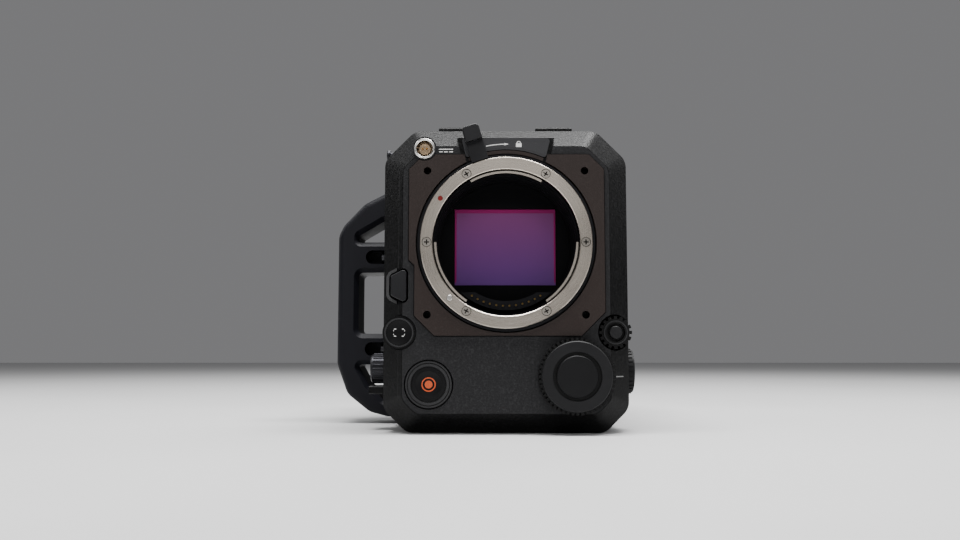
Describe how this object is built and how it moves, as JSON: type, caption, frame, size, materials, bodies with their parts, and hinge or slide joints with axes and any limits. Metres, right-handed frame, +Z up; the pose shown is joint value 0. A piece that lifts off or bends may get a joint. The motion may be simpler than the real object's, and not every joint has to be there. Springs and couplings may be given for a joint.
{
  "type": "medium format digital camera",
  "caption": "Box-shaped medium format digital camera with a wide bayonet lens mount, front dials and buttons, and a side handle with cross arms.",
  "frame": {"origin": "on the base face, under the middle of the image plane", "axes": "+X to the right seen from the front, +Y from the lens towards the rear, +Z up"},
  "size_m": [0.1465, 0.191, 0.143],
  "materials": {
    "black_casting": "fine textured black paint",
    "fascia_grey": "speckled dark grey paint",
    "plate_brown": "dark brown anodised",
    "ring_silver": "satin turned",
    "steel": "satin",
    "black_steel": "blackened",
    "socket_silver": "polished nickel",
    "socket_cream": "matte",
    "gold": "gold plated",
    "index_red": "glossy",
    "handle_black": "satin black",
    "lever_black": "satin black",
    "control_black": "fine matte",
    "connector_black": "satin black",
    "throat_black": "flocked black",
    "filter_purple": "coated",
    "frame_black": "matte",
    "sensor_ceramic": "smooth",
    "aluminium": "milled",
    "board_green": "solder mask",
    "display_black": "glossy",
    "panel_plastic": "fine matte",
    "catch_grey": "fine matte",
    "fan_black": "moulded"
  },
  "bodies": {
    "camera": {"front_housing": "black_casting", "main_housing": "black_casting", "rear_plate": "black_casting", "left_panel": "black_casting", "right_panel": "black_casting", "base_plate": "black_casting", "top_plate": "black_casting", "front_fascia": "fascia_grey", "label_plate": "fascia_grey", "mount_plate": "plate_brown", "mount_ring": "ring_silver", "mount_screws": "steel", "door_pin": "steel", "handle_screws": "steel", "release_spring": "steel", "tape_hook": "steel", "casing_screws": "black_steel", "power_socket_shell": "socket_silver", "video_sockets": "socket_silver", "power_socket_insert": "socket_cream", "contact_pins": "gold", "power_socket_pins": "gold", "index_dot": "index_red", "side_handle": "handle_black", "record_bezel": "control_black", "grab_bezel": "control_black", "cable_socket": "connector_black", "throat_baffle": "throat_black", "contact_block": "throat_black", "filter_glass": "filter_purple", "filter_frame": "frame_black", "sensor": "sensor_ceramic", "sensor_carrier": "aluminium", "heat_sink": "aluminium", "card_cage": "aluminium", "main_board": "board_green", "power_board": "board_green", "control_board": "board_green", "display_board": "board_green", "display_glass": "display_black", "battery_plate": "panel_plastic", "fan_frame": "fan_black"},
    "lock_lever": {"lock_lever": "lever_black", "lock_ring": "black_steel"},
    "lens_release": {"release_button": "lever_black", "release_link": "steel", "lock_pin": "steel"},
    "record_button": {"record_button": "control_black"},
    "grab_button": {"grab_button": "control_black"},
    "main_dial": {"main_dial": "control_black"},
    "main_dial_button": {"main_dial_button": "control_black"},
    "small_dial": {"small_dial": "control_black"},
    "small_dial_button": {"small_dial_button": "control_black"},
    "side_knob": {"side_knob": "control_black"},
    "fan_rotor": {"fan_rotor": "fan_black"},
    "media_door": {"media_door": "panel_plastic"},
    "battery_catch": {"battery_catch": "catch_grey"},
    "menu_button_1": {"menu_button_1": "panel_plastic"},
    "menu_button_2": {"menu_button_2": "panel_plastic"},
    "power_switch": {"power_switch": "panel_plastic"}
  },
  "joints": [
    {"name": "lock_lever_turn", "type": "hinge", "parent": "camera", "child": "lock_lever", "pos_m": [0, -0.0235, 0.0863], "axis": [0, 1, 0], "range_deg": [0, 34.8]},
    {"name": "lens_release_press", "type": "slide", "parent": "camera", "child": "lens_release", "axis": [0, 1, 0], "range_m": [0, 0.0015], "stiffness_N_per_m": 600, "springref_m": -0.001, "deforming": ["release_spring"]},
    {"name": "record_button_press", "type": "slide", "parent": "camera", "child": "record_button", "axis": [0, 1, 0], "range_m": [0, 0.0012], "stiffness_N_per_m": 400, "springref_m": -0.001},
    {"name": "grab_button_press", "type": "slide", "parent": "camera", "child": "grab_button", "axis": [0, 1, 0], "range_m": [0, 0.0008], "stiffness_N_per_m": 400, "springref_m": -0.001},
    {"name": "main_dial_turn", "type": "hinge", "parent": "camera", "child": "main_dial", "pos_m": [0.0312, -0.0251, 0.026], "axis": [0, 1, 0], "continuous": true},
    {"name": "main_dial_button_press", "type": "slide", "parent": "main_dial", "child": "main_dial_button", "axis": [0, 1, 0], "range_m": [0, 0.0008], "stiffness_N_per_m": 400, "springref_m": -0.001},
    {"name": "small_dial_turn", "type": "hinge", "parent": "camera", "child": "small_dial", "pos_m": [0.0494, -0.015, 0.0456], "axis": [0, 1, 0], "continuous": true},
    {"name": "small_dial_button_press", "type": "slide", "parent": "small_dial", "child": "small_dial_button", "axis": [0, 1, 0], "range_m": [0, 0.0006], "stiffness_N_per_m": 200, "springref_m": -0.001},
    {"name": "side_knob_turn", "type": "hinge", "parent": "camera", "child": "side_knob", "pos_m": [0.05625, 0, 0.0278], "axis": [1, 0, 0], "continuous": true},
    {"name": "fan_turn", "type": "hinge", "parent": "camera", "child": "fan_rotor", "pos_m": [-0.045, 0.108, 0.07], "axis": [1, 0, 0], "continuous": true},
    {"name": "media_door_turn", "type": "hinge", "parent": "camera", "child": "media_door", "pos_m": [0.055, 0.1168, 0.0425], "axis": [0, 1, 0], "range_deg": [0, 95]},
    {"name": "battery_catch_slide", "type": "slide", "parent": "camera", "child": "battery_catch", "axis": [1, 0, 0], "range_m": [0, 0.003], "stiffness_N_per_m": 300, "springref_m": -0.002},
    {"name": "menu_button_1_press", "type": "slide", "parent": "camera", "child": "menu_button_1", "axis": [-1, 0, 0], "range_m": [0, 0.0008], "stiffness_N_per_m": 300, "springref_m": -0.001},
    {"name": "menu_button_2_press", "type": "slide", "parent": "camera", "child": "menu_button_2", "axis": [-1, 0, 0], "range_m": [0, 0.0008], "stiffness_N_per_m": 300, "springref_m": -0.001},
    {"name": "power_switch_slide", "type": "slide", "parent": "camera", "child": "power_switch", "axis": [0, 1, 0], "range_m": [0, 0.0056]}
  ]
}
